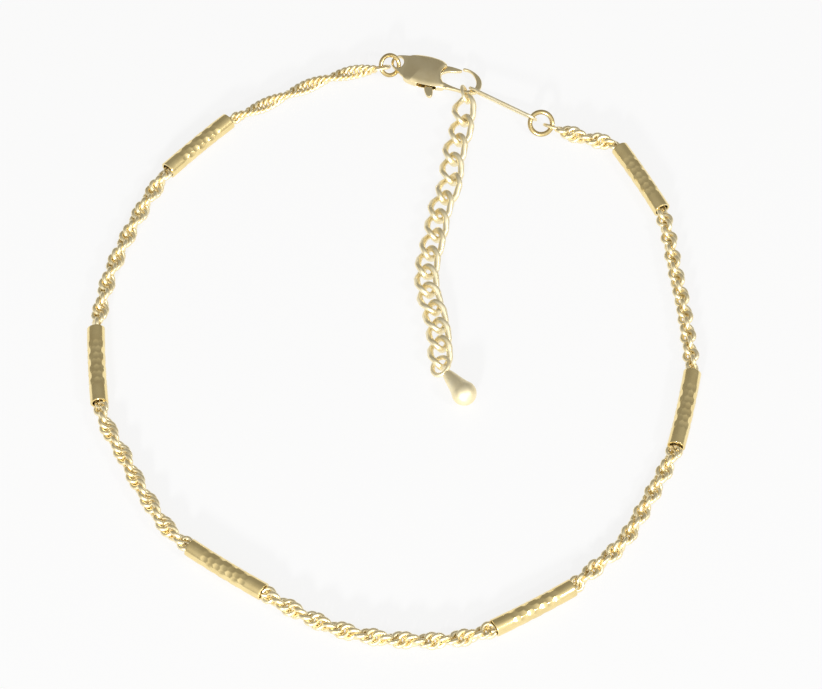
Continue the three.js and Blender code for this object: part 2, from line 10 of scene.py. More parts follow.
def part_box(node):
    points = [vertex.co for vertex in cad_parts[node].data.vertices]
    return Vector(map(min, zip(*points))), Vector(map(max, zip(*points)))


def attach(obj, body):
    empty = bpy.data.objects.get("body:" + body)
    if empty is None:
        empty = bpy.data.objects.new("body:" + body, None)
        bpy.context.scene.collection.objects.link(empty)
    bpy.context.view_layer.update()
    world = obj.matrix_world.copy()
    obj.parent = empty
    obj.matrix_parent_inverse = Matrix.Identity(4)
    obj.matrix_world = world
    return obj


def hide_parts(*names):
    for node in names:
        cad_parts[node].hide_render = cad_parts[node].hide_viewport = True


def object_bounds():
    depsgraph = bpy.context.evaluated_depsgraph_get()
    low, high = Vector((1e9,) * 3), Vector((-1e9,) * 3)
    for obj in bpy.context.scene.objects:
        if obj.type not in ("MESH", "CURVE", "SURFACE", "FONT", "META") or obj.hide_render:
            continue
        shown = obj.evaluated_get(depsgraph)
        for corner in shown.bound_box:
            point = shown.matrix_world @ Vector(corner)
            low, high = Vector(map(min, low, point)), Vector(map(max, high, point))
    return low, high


MM = 0.001
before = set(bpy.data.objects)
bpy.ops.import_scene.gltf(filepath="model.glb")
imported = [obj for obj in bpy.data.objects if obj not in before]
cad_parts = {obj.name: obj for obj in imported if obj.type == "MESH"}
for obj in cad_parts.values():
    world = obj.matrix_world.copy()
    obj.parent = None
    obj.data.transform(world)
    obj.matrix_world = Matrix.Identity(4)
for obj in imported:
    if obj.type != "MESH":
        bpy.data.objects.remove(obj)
cad_low, cad_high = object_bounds()

# The route, as the solids have it: places in hundredths of the loop's width, and the extension's in
# links' pitches from the hook's arm.
LOOP_WIDTH = 71.5
BARS = [
    (-35.94, 38.74, -134),
    (-50.91, -5.03, -85),
    (-28.95, -42.52, -34),
    (19.09, -49.3, 30),
    (44.06, -13.29, 77),
    (38.6, 31.89, 118),
]
CHAINS = [
    [(-10.49, 53.99), (-14.69, 52.59), (-19.02, 50.49), (-23.08, 48.25), (-27.13, 46.01)],
    [(-43.78, 28.25), (-46.01, 23.22), (-47.97, 18.04), (-49.79, 12.45), (-50.91, 6.15)],
    [(-48.95, -16.22), (-47.13, -19.72), (-45.45, -22.8), (-43.92, -26.01), (-42.24, -29.09),
      (-40.42, -32.17), (-38.46, -35.1)],
    [(-20.56, -48.25), (-17.76, -49.93), (-13.71, -52.03), (-9.51, -53.57), (-4.76, -54.55),
      (0, -54.97), (4.9, -54.97), (9.65, -54.13)],
    [(27.41, -43.64), (29.93, -41.26), (33.01, -38.18), (35.24, -34.69), (37.34, -30.77),
      (39.44, -26.71), (41.26, -23.08)],
    [(45.59, -3.64), (45.31, 0), (45.03, 3.64), (44.62, 7.41), (44.06, 11.05), (43.5, 14.97),
      (43.08, 18.74), (42.52, 22.38)],
    [(33.71, 39.23), (31.33, 39.86), (29.09, 40.49)],
]
LAST_CHAIN = len(CHAINS)
CLASP_PLACE, END_RING_PLACE = (-2.76, 55.8), (22.1, 43.36)
EXTENDER = [
    (-0.03, -0.9), (-0.11, -1.70), (-0.36, -2.62), (-0.53, -3.58), (-0.59, -4.49), (-0.89, -5.28),
    (-1.10, -6.07), (-1.21, -6.92), (-1.45, -7.90), (-1.57, -8.88), (-1.50, -9.74), (-1.27, -10.63),
    (-1.12, -11.51), (-1.06, -12.34), (-1.04, -13.08),
]

# Sizes in mm, as the solids have them.
FLOOR_GAP, RING_GAP, SLOT_GAP, PIN_GAP, FUSE = 0.03, 0.15, 0.15, 0.12, 0.06
BAR_OD, BAR_BORE, BAR_LENGTH, BAR_BOW, BAR_PLAIN_END = 2.1, 1.6, 10.2, 0.1, 2.1
LINK_WIDTH, LINK_WIRE, LINK_PITCH = 2.0, 0.5, 0.805
SLOW_WIRE, SLOW_PITCH, SLOW_TURN, SLOW_OWN_TWIST = 0.4, 0.86, 27, -45
WIRE_OVERLAP = 0.81  # of a wire, by which neighbouring links pass each other
NECK_WIDTH, NECK_WIRE, NECK_DEPTH = 0.96, 0.38, 0.02
END_LINK_WIDTH, END_LINK_WIRE, END_LINK_LENGTH = 1.75, 0.42, 2.4
# The links as they look: closer and longer than the solids' ones, inside the same round.
FINE_LENGTH, FINE_WIDTH, FINE_WIRE, FINE_OWN_TWIST = 1.98, 2.06, 0.56, -12
FINE_DEPTH = 0.33  # to which the first of them reaches into the bar's mouth
# The length of one half turn and the links' pitch, for each chain.
FINE_RHYTHM = {
    2: (3.6, 0.72), 3: (3.6, 0.72), 4: (3.3, 0.72), 5: (3.1, 0.75), 6: (2.7, 0.88), 7: (3.3, 0.75),
}
FINE_SLOW_LENGTH, FINE_SLOW_WIDTH, FINE_SLOW_WIRE, FINE_SLOW_PITCH = 1.7, 1.76, 0.45, 0.6
FINE_SLOW_FLAT = 0.12  # share of the wire that is cut from the first chain's links
FINE_NECK_WIDTH, FINE_NECK_WIRE = NECK_WIDTH + 0.2, NECK_WIRE + 0.1
FINE_RING_WIRE, FINE_END_RING_WIRE = 0.53, 0.6
FINE_EXTENDER_WIRE, FINE_EXTENDER_ROUND = 0.78, 0.45
LONG_LINK = 0.3  # a link this much longer than round has straight sides

CLASP_LENGTH, CLASP_WIDTH, CLASP_THICK, CLASP_HEADING = 11.2, 4.6, 1.5, -16
HOOK_THICK, HOOK_RAISE, EYE_THICK, EYE_RAISE = 0.5, 0.2, 0.42, 0.16
LEVER_THICK, RIVET_OD = 0.4, 0.7
CLASP_RING_OD, CLASP_RING_WIRE, CLASP_RING_TILT, CLASP_RING_TURN = 3.0, 0.46, 47, 55
END_RING_OD, END_RING_WIRE, END_RING_TILT = 3.3, 0.5, 36
FIRST_CHAIN_AT, CONNECTOR_AT, LAST_CHAIN_AT = 165, 150, -20
CONNECTOR_WIDTH, CONNECTOR_WIRE, CONNECTOR_ROLL, CONNECTOR_GAP = 2.1, 0.34, -65, 0.2
EXTENDER_LINKS, EXTENDER_PITCH, EXTENDER_CLOSER, EXTENDER_WIDTH = 14, 3.0, 0.045, 3.0
EXTENDER_WIRE, EXTENDER_TWIST, EXTENDER_PLAY = 0.7, -104, 0.2
FIRST_LINK_WIDTH, FIRST_LINK_WIRE, FIRST_LINK_ROLL, FIRST_LINK_GAP = 2.25, 0.42, -66, 0.26
DROP_EYE_OD, DROP_EYE_WIRE, DROP_EYE_ROLL, DROP_EYE_DEPTH = 2.8, 0.54, 34, 0.9
DROP_NECK, DROP_BULB, DROP_LENGTH, DROP_HEADING = 1.3, 2.9, 6.3, -56

# The bars' cuts: rows of small round dents, narrower round the bar than along it, and the grid of points
# that carries them and ends a margin past them.
CUT_PITCH, CUT_AROUND, CUT_DEPTH, CUT_RADIUS, CUT_NARROW = 0.85, 10, 0.05, 0.47, 1.25
CUT_MARGIN = 0.35
BAR_COLUMNS, BAR_CUT_ROWS, BAR_END_ROWS = 120, 90, 9
BORE_DEPTHS = (0.0, 0.3, 2.2)  # where the bore's rings of points lie, from the bar's end
RIM_BEVEL, RIM_ANGLE = 0.05, 60

# The clasp's rounded edges, the fineness of its surface, and its crowned top.
BODY_BEVEL, SLOT_BEVEL, HOOK_BEVEL, EYE_BEVEL, LEVER_BEVEL = 0.55, 0.02, 0.15, 0.1, 0.12
PIN_FOOT, PIN_SINK = 0.1, 0.02
CLASP_GRAIN, CLASP_SMOOTHING = 0.06, 4
# The crown's fall in mm, then its middle and half width in shares of the clasp's width, its end in shares
# of the length, and how far below the eye's top it starts. The slope to the eye is in shares of the length.
CROWN, CROWN_AT, CROWN_HALF, CROWN_END, CROWN_INSET = 0.3, 0.03, 0.47, 0.62, 0.02
SLOPE_START, SLOPE_SPAN = 0.1, 0.2

# The drop's outline: radii at the eye in shares of the neck's width, the collar's distance from the eye,
# the slope at which the neck starts to widen, and the number of points.
DROP_TIP, DROP_COLLAR, DROP_COLLAR_AT, DROP_FLARE = 0.27, 0.47, 0.3, 0.3
TANGENT_AT = math.radians(-22)  # where the neck's curve meets the bulb's round
NECK_STEPS, BULB_STEPS, DROP_TURNS, DROP_POINT = 14, 18, 48, 0.002

# The clasp's outlines, in shares of its length and width. The gate's tip reaches a little further than
# the solid's, up to the hook.
BODY_OUTLINE = [
    (0.115, -0.31), (0.162, -0.4), (0.252, -0.44), (0.338, -0.45), (0.437, -0.445), (0.52, -0.42),
    (0.59, -0.4), (0.61, -0.28), (0.575, -0.225), (0.537, -0.08), (0.522, 0.11), (0.541, 0.25),
    (0.575, 0.345), (0.502, 0.473), (0.397, 0.507), (0.284, 0.503), (0.188, 0.468), (0.115, 0.384),
]
HOOK_OUTLINE = [
    (0.54, -0.21), (0.54, -0.4), (0.62, -0.39), (0.728, -0.385), (0.8, -0.4), (0.88, -0.405),
    (0.951, -0.36), (0.985, -0.24), (0.995, -0.1), (0.985, 0.05), (0.96, 0.16), (0.919, 0.257),
    (0.857, 0.345), (0.79, 0.39), (0.735, 0.385), (0.735, 0.33), (0.75, 0.31), (0.8, 0.32),
    (0.84, 0.285), (0.875, 0.21), (0.91, 0.1), (0.93, -0.03), (0.93, -0.15), (0.91, -0.235),
    (0.86, -0.3), (0.807, -0.32), (0.72, -0.295), (0.63, -0.25), (0.57, -0.2),
]
EYE_OUTLINE = [
    (-0.055, 0.12), (-0.045, 0), (-0.01, -0.11), (0.05, -0.19), (0.107, -0.3), (0.2, -0.38),
    (0.2, 0.44), (0.115, 0.39), (0.053, 0.36), (0, 0.32), (-0.04, 0.23),
]
SLOT_OUTLINE = [
    (0.27, -0.8), (0.3, -0.4), (0.37, -0.1), (0.37, 0.2), (0.46, 0.8), (0.9, 0.8), (0.9, -0.085),
    (0.505, -0.085), (0.51, -0.4), (0.53, -0.8),
]
LEVER_OUTLINE = [
    (0.385, 0.08), (0.4, -0.1), (0.387, -0.498), (0.409, -0.62), (0.454, -0.759), (0.498, -0.749),
    (0.506, -0.621), (0.478, -0.435), (0.485, -0.05), (0.53, 0.08), (0.585, 0.19), (0.655, 0.22),
    (0.724, 0.27), (0.732, 0.31), (0.724, 0.345), (0.645, 0.365), (0.58, 0.375), (0.5, 0.33),
    (0.44, 0.26),
]
RIVET_AT = (0.44, 0.09)
EYE_HOLE_AT = (0.033, 0.1)
EYE_HOLE = (1.2, 1.65)
HOOK_SEAT, HOOK_WIRE = (0.955, -0.24), 0.095 * CLASP_LENGTH
ARM_SEAT, ARM_WIRE = (0.833, -0.356), 0.09 * CLASP_WIDTH


def on_loop(x, y, height):
    """A point of the route in mm, at this height."""
    return Vector((x * LOOP_WIDTH / 100, y * LOOP_WIDTH / 100, height))


# The solids' frame against the route's, read from the end ring, whose middle is known in both.
ring_low, ring_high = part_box("end_ring")
end_ring_flat = on_loop(*END_RING_PLACE, 0)
SHIFT = (ring_low + ring_high) / 2 / MM - end_ring_flat
SHIFT.z = 0.0


# Gold: sizes of its drift of colour and of its fine grain.
DRIFT_SCALE, DRIFT_DETAIL, DRIFT_STOPS = 620.0, 3.0, (0.32, 0.68)
GRAIN_SCALE, GRAIN_DETAIL, GRAIN_STRETCH, GRAIN_RANGE = 5200.0, 4.0, (1.0, 0.35, 1.0), (0.3, 0.7)
BUMP_HEIGHT = 0.02 * MM


def gold(name, light, dark, rough, scratch, bump):
    """Polished gold: warm drifts of colour, fine scratches and a trace of wear in gloss and bump."""
    material = bpy.data.materials.new(name)
    material.use_nodes = True
    nodes, links = material.node_tree.nodes, material.node_tree.links
    nodes.clear()
    out = nodes.new("ShaderNodeOutputMaterial")
    shader = nodes.new("ShaderNodeBsdfPrincipled")
    shader.inputs["Metallic"].default_value = 1.0
    links.new(shader.outputs[0], out.inputs[0])
    place = nodes.new("ShaderNodeTexCoord")

    drift = nodes.new("ShaderNodeTexNoise")
    drift.inputs["Scale"].default_value = DRIFT_SCALE
    drift.inputs["Detail"].default_value = DRIFT_DETAIL
    links.new(place.outputs["Object"], drift.inputs["Vector"])
    colour = nodes.new("ShaderNodeValToRGB")
    for stop, position, shade in zip(colour.color_ramp.elements, DRIFT_STOPS, (dark, light)):
        stop.position, stop.color = position, (*shade, 1)
    links.new(drift.outputs["Fac"], colour.inputs[0])
    links.new(colour.outputs[0], shader.inputs["Base Color"])

    fine = nodes.new("ShaderNodeTexNoise")
    fine.inputs["Scale"].default_value = GRAIN_SCALE
    fine.inputs["Detail"].default_value = GRAIN_DETAIL
    stretch = nodes.new("ShaderNodeMapping")
    stretch.inputs["Scale"].default_value = GRAIN_STRETCH
    links.new(place.outputs["Object"], stretch.inputs["Vector"])
    links.new(stretch.outputs[0], fine.inputs["Vector"])
    gloss = nodes.new("ShaderNodeMapRange")
    gloss.inputs["From Min"].default_value, gloss.inputs["From Max"].default_value = GRAIN_RANGE
    gloss.inputs["To Min"].default_value = rough
    gloss.inputs["To Max"].default_value = rough + scratch
    links.new(fine.outputs["Fac"], gloss.inputs["Value"])
    links.new(gloss.outputs[0], shader.inputs["Roughness"])

    lift = nodes.new("ShaderNodeBump")
    lift.inputs["Strength"].default_value = bump
    lift.inputs["Distance"].default_value = BUMP_HEIGHT
    links.new(fine.outputs["Fac"], lift.inputs["Height"])
    links.new(lift.outputs[0], shader.inputs["Normal"])
    return material


CHAIN = gold("chain_gold", (1.0, 0.89, 0.6), (0.97, 0.82, 0.49), 0.3, 0.14, 0.35)
EXTENDER_GOLD = gold("extender_gold", (1.0, 0.91, 0.66), (0.98, 0.86, 0.56), 0.36, 0.12, 0.25)
BAR = gold("bar_gold", (1.0, 0.82, 0.42), (0.9, 0.72, 0.35), 0.16, 0.08, 0.12)
RING = gold("ring_gold", (0.7, 0.56, 0.28), (0.6, 0.46, 0.21), 0.2, 0.09, 0.12)
CLASP = gold("clasp_gold", (1.0, 0.86, 0.54), (0.94, 0.79, 0.47), 0.17, 0.09, 0.12)
DROP_GOLD = gold("drop_gold", (1.0, 0.91, 0.66), (0.98, 0.86, 0.56), 0.5, 0.08, 0.15)


# Mesh helpers.
def placed(name, data):
    """A new object with this data, in the scene."""
    thing = bpy.data.objects.new(name, data)
    bpy.context.scene.collection.objects.link(thing)
    return thing


def make(name, points, faces, material):
    """A mesh object from points in mm in the route's frame."""
    mesh = bpy.data.meshes.new(name)
    shifted = (np.asarray(points, float) + np.array(SHIFT)) * MM
    mesh.from_pydata(shifted.tolist(), [], [list(map(int, f)) for f in faces])
    mesh.update()
    ordered = bmesh.new()
    ordered.from_mesh(mesh)
    bmesh.ops.recalc_face_normals(ordered, faces=ordered.faces)
    ordered.to_mesh(mesh)
    ordered.free()
    mesh.polygons.foreach_set("use_smooth", [True] * len(mesh.polygons))
    mesh.materials.append(material)
    return placed(name, mesh)


def dress(piece, body, slot, *nodes):
    """Puts a piece on its body, in the place of these nodes. The slot is not used."""
    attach(piece, body)
    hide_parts(*nodes)


def frame_at(point, direction, roll):
    """A frame at a point: X along the direction, Y turned by the roll from the horizontal."""
    along = Vector(direction).normalized()
    side = Vector((0, 0, 1)).cross(along).normalized()
    top = along.cross(side)
    across = side * math.cos(roll) + top * math.sin(roll)
    normal = along.cross(across)
    m = Matrix((along, across, normal)).transposed().to_4x4()
    m.translation = Vector(point)
    return m


def roll_on_wire(direction, tangent):
    """The roll at which a link along the direction stands square on a wire with this tangent."""
    along = Vector(direction).normalized()
    side = Vector((0, 0, 1)).cross(along).normalized()
    top = along.cross(side)
    return math.atan2(-tangent.dot(side), tangent.dot(top))


def moved(points, matrix):
    """The points under this matrix."""
    a = np.array(matrix)
    return np.asarray(points) @ a[:3, :3].T + a[:3, 3]


class Curve:
    """The smooth curve that the solids follow through a few points."""

    TANGENT_STEP = 0.0005

    def __init__(self, points, divisions=400):
        self.points = [np.array(p, float) for p in points]
        self.samples = np.array([self.raw(i / divisions) for i in range(divisions + 1)])
        steps = np.linalg.norm(np.diff(self.samples, axis=0), axis=1)
        self.sums = np.concatenate([[0], np.cumsum(steps)])
        self.length = float(self.sums[-1])

    def raw(self, t):
        """The point at this parameter, which runs evenly from point to point."""
        pts, count = self.points, len(self.points)
        place = (count - 1) * t
        i = min(int(place), count - 2)
        w = place - i
        p1, p2 = pts[i], pts[i + 1]
        p0 = pts[i - 1] if i > 0 else 2 * p1 - p2
        p3 = pts[i + 2] if i + 2 < count else 2 * p2 - p1
        d0, d1, d2 = (max(np.linalg.norm(b - a) ** 0.5, 1e-4) for a, b in ((p0, p1), (p1, p2), (p2, p3)))
        t1 = ((p1 - p0) / d0 - (p2 - p0) / (d0 + d1) + (p2 - p1) / d1) * d1
        t2 = ((p2 - p1) / d1 - (p3 - p1) / (d1 + d2) + (p3 - p2) / d2) * d1
        c2 = -3 * p1 + 3 * p2 - 2 * t1 - t2
        c3 = 2 * p1 - 2 * p2 + t1 + t2
        return p1 + t1 * w + c2 * w * w + c3 * w**3

    def at(self, share):
        """The point at this share of the curve's length."""
        share = min(max(share, 0.0), 1.0)
        t = np.interp(share * self.length, self.sums, np.linspace(0, 1, len(self.sums)))
        return Vector(self.raw(float(t)))

    def tangent(self, share):
        """The direction at this share of the curve's length."""
        low, high = max(share - self.TANGENT_STEP, 0.0), min(share + self.TANGENT_STEP, 1.0)
        return (self.at(high) - self.at(low)).normalized()


def wire_link(length, width, wire, twist=0.0, steps=28, sides=10, flat=0.0, oval=0.0):
    """Points and faces of a closed wire link, long along X. Flat cuts the wire's two broad faces, and
    oval bends its straight sides."""
    half_width, half_length = (width - wire) / 2, (length - wire) / 2
    stretch = half_length - half_width
    stations = []
    for i in range(steps):
        a = 2 * math.pi * (i + 0.5) / steps
        bent = stretch * math.cos(a)
        straight = math.copysign(stretch, math.cos(a)) if stretch > LONG_LINK else bent
        shift = straight * (1 - oval) + bent * oval
        stations.append((a, shift))
    points = []
    for a, shift in stations:
        for j in range(sides):
            b = 2 * math.pi * (j + 0.5) / sides
            r = wire / 2 * math.cos(b)
            z = wire / 2 * math.sin(b)
            z = max(-wire / 2 * (1 - flat), min(wire / 2 * (1 - flat), z))
            points.append(((half_width + r) * math.cos(a) + shift, (half_width + r) * math.sin(a), z))
    points = np.array(points)
    turn = math.radians(twist) / 2 * points[:, 0] / half_length
    y, z = points[:, 1].copy(), points[:, 2].copy()
    points[:, 1] = y * np.cos(turn) - z * np.sin(turn)
    points[:, 2] = y * np.sin(turn) + z * np.cos(turn)
    faces = [
        (i * sides + j, ((i + 1) % steps) * sides + j,
         ((i + 1) % steps) * sides + (j + 1) % sides, i * sides + (j + 1) % sides)
        for i in range(steps)
        for j in range(sides)
    ]
    return points, faces


def ring_frame(centre, heading, tilt):
    """The frame of a ring that is tilted about its heading, both in degrees."""
    a = math.radians(heading)
    return frame_at(centre, (math.cos(a), math.sin(a), 0), math.radians(tilt))


def ring_point(matrix, radius, angle):
    """The point of a ring's wire at this angle."""
    a = math.radians(angle)
    return matrix @ Vector((radius * math.cos(a), radius * math.sin(a), 0))


def ring_tangent(matrix, angle):
    """The direction of a ring's wire at this angle."""
    a = math.radians(angle)
    return (matrix.to_3x3() @ Vector((-math.sin(a), math.cos(a), 0))).normalized()


def ring_height(od, wire, tilt):
    """The height of the middle of a tilted ring whose lowest point lies just over the plane."""
    return (od - wire) / 2 * math.sin(math.radians(tilt)) + wire / 2 + FLOOR_GAP


# Bars: cut tubes, open at both ends.
def cut_radius(x, angle):
    """The bar's radius at this place: smaller inside a dent."""
    radius = BAR_OD / 2
    step = 2 * math.pi / CUT_AROUND
    rows = int((BAR_LENGTH / 2 - BAR_PLAIN_END) / CUT_PITCH)
    nearest = 1.0
    for row in range(-rows, rows + 1):
        past = x - row * CUT_PITCH
        if abs(past) > CUT_RADIUS:
            continue
        phase = (row % 2) * step / 2
        beside = (angle - phase - round((angle - phase) / step) * step) * radius
        nearest = min(nearest, math.hypot(past, beside * CUT_NARROW) / CUT_RADIUS)
    return radius - CUT_DEPTH * (1 - nearest * nearest)


def bar_points():
    """One bar along X: a smooth tube whose middle is covered with small round cuts."""
    half = BAR_LENGTH / 2
    cut_half = half - BAR_PLAIN_END + CUT_MARGIN
    xs = np.concatenate([
        np.linspace(-half, -cut_half, BAR_END_ROWS)[:-1],
        np.linspace(-cut_half, cut_half, BAR_CUT_ROWS),
        np.linspace(cut_half, half, BAR_END_ROWS)[1:],
    ])
    angles = np.arange(BAR_COLUMNS) * 2 * math.pi / BAR_COLUMNS
    points, faces = [], []

    def put(x, radius, angle):
        share = 2 * x / BAR_LENGTH
        across = radius * math.cos(angle) - BAR_BOW * (1 - share * share)
        points.append((x, across, radius * math.sin(angle)))

    for x in xs:
        for angle in angles:
            put(x, cut_radius(x, angle), angle)
    for side in (1, -1):
        for depth in BORE_DEPTHS:
            for angle in angles:
                put(side * (half - depth), BAR_BORE / 2, angle)

    # Rings of points from the left end's bore over the outside to the right end's, and closed inside.
    outside = list(range(len(xs)))
    right = [len(xs) + i for i in range(len(BORE_DEPTHS))]
    left = [right[-1] + 1 + i for i in range(len(BORE_DEPTHS))]
    rings = left[::-1] + outside + right
    for first, second in zip(rings, rings[1:] + rings[:1]):
        for j in range(BAR_COLUMNS):
            n = (j + 1) % BAR_COLUMNS
            faces.append((first * BAR_COLUMNS + j, first * BAR_COLUMNS + n,
                          second * BAR_COLUMNS + n, second * BAR_COLUMNS + j))
    return np.array(points), faces


bar_shape, bar_faces = bar_points()
bar_ends = []
for index, (x, y, heading) in enumerate(BARS):
    a = math.radians(heading)
    along = Vector((math.cos(a), math.sin(a), 0))
    middle = on_loop(x, y, BAR_OD / 2)
    bar = make(f"bar_{index + 1}_cut", moved(bar_shape, frame_at(middle, along, 0)), bar_faces, BAR)
    edges = bar.modifiers.new("rim", "BEVEL")
    edges.width, edges.segments, edges.limit_method = RIM_BEVEL * MM, 2, "ANGLE"
    edges.angle_limit = math.radians(RIM_ANGLE)
    dress(bar, "anklet", "bar_gold", f"bar_{index + 1}")
    slant = math.atan(4 * BAR_BOW / BAR_LENGTH)
    into = Matrix.Rotation(-slant, 3, "Z") @ along
    out = Matrix.Rotation(slant, 3, "Z") @ along
    bar_ends.append((middle - along * BAR_LENGTH / 2, middle + along * BAR_LENGTH / 2, into, out))

# Clasp.
clasp_frame = ring_frame(on_loop(*CLASP_PLACE, 0), CLASP_HEADING, 0)
middle_height = CLASP_THICK / 2
hook_height = middle_height + HOOK_RAISE
eye_height = middle_height + EYE_RAISE


def smooth_outline(outline, rounds=2):
    """The outline in mm, its corners rounded by cutting them in this many rounds."""
    pts = [Vector((x * CLASP_LENGTH, y * CLASP_WIDTH)) for x, y in outline]
    for _ in range(rounds):
        cut = []
        for a, b in zip(pts, pts[1:] + pts[:1]):
            cut += [a.lerp(b, 0.25), a.lerp(b, 0.75)]
        pts = cut
    return pts


def evaluated_mesh(piece):
    """The mesh that a curve or a piece with modifiers shows."""
    bpy.context.view_layer.update()
    return bpy.data.meshes.new_from_object(piece.evaluated_get(bpy.context.evaluated_depsgraph_get()))


def plate(name, outline, thick, height, bevel, rounds=2, holes=()):
    """A flat piece of this outline with rounded edges, as an object in metres in the clasp's frame."""
    curve = bpy.data.curves.new(name, "CURVE")
    curve.dimensions = "2D"
    curve.fill_mode = "BOTH"
    curve.extrude = (thick / 2 - bevel) * MM
    curve.bevel_depth = bevel * MM
    curve.bevel_resolution = 5
    curve.offset = -bevel * MM
    for pts in [smooth_outline(outline, rounds), *holes]:
        spline = curve.splines.new("POLY")
        spline.points.add(len(pts) - 1)
        for point, p in zip(spline.points, pts):
            point.co = (p.x * MM, p.y * MM, 0, 1)
        spline.use_cyclic_u = True
    shape = placed(name, curve)
    mesh = evaluated_mesh(shape)
    bpy.data.objects.remove(shape)
    mesh.transform(Matrix.Translation((0, 0, height * MM)))
    return placed(name, mesh)


def ellipse(at, size, count=40):
    """The outline of an oval hole of this size in mm."""
    return [
        Vector((at[0] * CLASP_LENGTH + size[0] / 2 * math.cos(2 * math.pi * i / count),
                at[1] * CLASP_WIDTH + size[1] / 2 * math.sin(2 * math.pi * i / count)))
        for i in range(count)
    ]


def apply(piece, kind, **settings):
    """Adds a modifier and turns its result into the piece's mesh."""
    modifier = piece.modifiers.new(kind.lower(), kind)
    for key, value in settings.items():
        setattr(modifier, key, value)
    result = evaluated_mesh(piece)
    piece.modifiers.clear()
    piece.data = result


def joined(name, parts):
    """One piece made of all the parts' faces."""
    whole = bmesh.new()
    for part in parts:
        whole.from_mesh(part.data)
        bpy.data.objects.remove(part)
    mesh = bpy.data.meshes.new(name)
    whole.to_mesh(mesh)
    whole.free()
    return placed(name, mesh)


def finish_clasp(piece, body, node):
    """Moves a piece from the clasp's frame to its place, and gives it its gold and its body."""
    in_metres = clasp_frame.copy()
    in_metres.translation = clasp_frame.translation * MM
    piece.data.transform(Matrix.Translation(SHIFT * MM) @ in_metres)
    piece.data.materials.clear()
    piece.data.materials.append(CLASP)
    piece.data.polygons.foreach_set("use_smooth", [True] * len(piece.data.polygons))
    dress(piece, body, "clasp_gold", node)


def cylinder(name, diameter, low, high, at, count=32):
    """A closed cylinder along Z, as an object in metres in the clasp's frame."""
    points, faces = [], []
    for z in (low, high):
        for i in range(count):
            a = 2 * math.pi * i / count
            points.append((at[0] + diameter / 2 * math.cos(a), at[1] + diameter / 2 * math.sin(a), z))
    faces.append(tuple(range(count))[::-1])
    faces.append(tuple(range(count, 2 * count)))
    for i in range(count):
        n = (i + 1) % count
        faces.append((i, n, count + n, count + i))
    mesh = bpy.data.meshes.new(name)
    mesh.from_pydata([(x * MM, y * MM, z * MM) for x, y, z in points], [], faces)
    return placed(name, mesh)


body_plate = plate("body_plate", BODY_OUTLINE, CLASP_THICK, middle_height, BODY_BEVEL)
slot_width = LEVER_THICK + 2 * SLOT_GAP
slot_block = plate("slot_block", SLOT_OUTLINE, slot_width, middle_height, SLOT_BEVEL, rounds=0)
apply(body_plate, "BOOLEAN", operation="DIFFERENCE", object=slot_block, solver="EXACT")
bpy.data.objects.remove(slot_block)
rivet_at = (RIVET_AT[0] * CLASP_LENGTH, RIVET_AT[1] * CLASP_WIDTH)
clasp_body = joined("clasp_body_fine", [
    body_plate,
    plate("hook_plate", HOOK_OUTLINE, HOOK_THICK, hook_height, HOOK_BEVEL),
    plate("eye_plate", EYE_OUTLINE, EYE_THICK, eye_height, EYE_BEVEL,
          holes=[ellipse(EYE_HOLE_AT, EYE_HOLE)]),
    cylinder("pin", RIVET_OD, PIN_FOOT, CLASP_THICK - PIN_SINK, rivet_at),
])
apply(clasp_body, "REMESH", mode="VOXEL", voxel_size=CLASP_GRAIN * MM)
apply(clasp_body, "SMOOTH", factor=0.5, iterations=CLASP_SMOOTHING)

# The body's top is crowned across, and slopes down to the eye.
eye_top = eye_height + EYE_THICK / 2
crown_base = eye_top - CROWN_INSET
for vertex in clasp_body.data.vertices:
    x, y, z = (c / MM for c in vertex.co)
    if z <= crown_base or x >= CROWN_END * CLASP_LENGTH:
        continue
    across = min(abs(y / CLASP_WIDTH - CROWN_AT) / CROWN_HALF, 1.0)
    slope = min(max((x / CLASP_LENGTH - SLOPE_START) / SLOPE_SPAN, 0.0), 1.0)
    fall = (CLASP_THICK - eye_top) * (1 - slope * slope * (3 - 2 * slope))
    top = CLASP_THICK - max(fall, CROWN * across * across * slope)
    share = (z - crown_base) / (CLASP_THICK - crown_base)
    vertex.co.z = min(z, crown_base + share * (top - crown_base)) * MM
finish_clasp(clasp_body, "anklet", "clasp_body")

lever = plate("clasp_lever_fine", LEVER_OUTLINE, LEVER_THICK, middle_height, LEVER_BEVEL)
hole = cylinder("lever_hole", RIVET_OD + 2 * PIN_GAP, 0, CLASP_THICK, rivet_at)
apply(lever, "BOOLEAN", operation="DIFFERENCE", object=hole, solver="EXACT")
bpy.data.objects.remove(hole)
finish_clasp(lever, "lever", "clasp_lever")


# Rings.
def add_ring(name, od, wire, matrix):
    """A round ring in the place of the node of this name."""
    points, faces = wire_link(od, od, wire, steps=72, sides=18)
    ring = make(f"{name}_fine", moved(points, matrix), faces, RING)
    dress(ring, "anklet", "clasp_gold", name)


clasp_ring_radius = (CLASP_RING_OD - CLASP_RING_WIRE) / 2
clasp_ring_height = ring_height(CLASP_RING_OD, CLASP_RING_WIRE, CLASP_RING_TILT)
rise = clasp_ring_radius * math.sin(math.radians(CLASP_RING_TILT))
eye_angle = -math.asin((clasp_ring_height - eye_height) / rise)
ring_to_eye = Matrix.Rotation(math.radians(CLASP_RING_TURN), 3, "Z") @ Vector((
    clasp_ring_radius * math.cos(eye_angle),
    clasp_ring_radius * math.sin(eye_angle) * math.cos(math.radians(CLASP_RING_TILT)),
    0,
))
eye_hole = Vector((EYE_HOLE_AT[0] * CLASP_LENGTH, EYE_HOLE_AT[1] * CLASP_WIDTH, clasp_ring_height))
clasp_ring_centre = clasp_frame @ (eye_hole - ring_to_eye)
clasp_ring_frame = ring_frame(clasp_ring_centre, CLASP_HEADING + CLASP_RING_TURN, CLASP_RING_TILT)
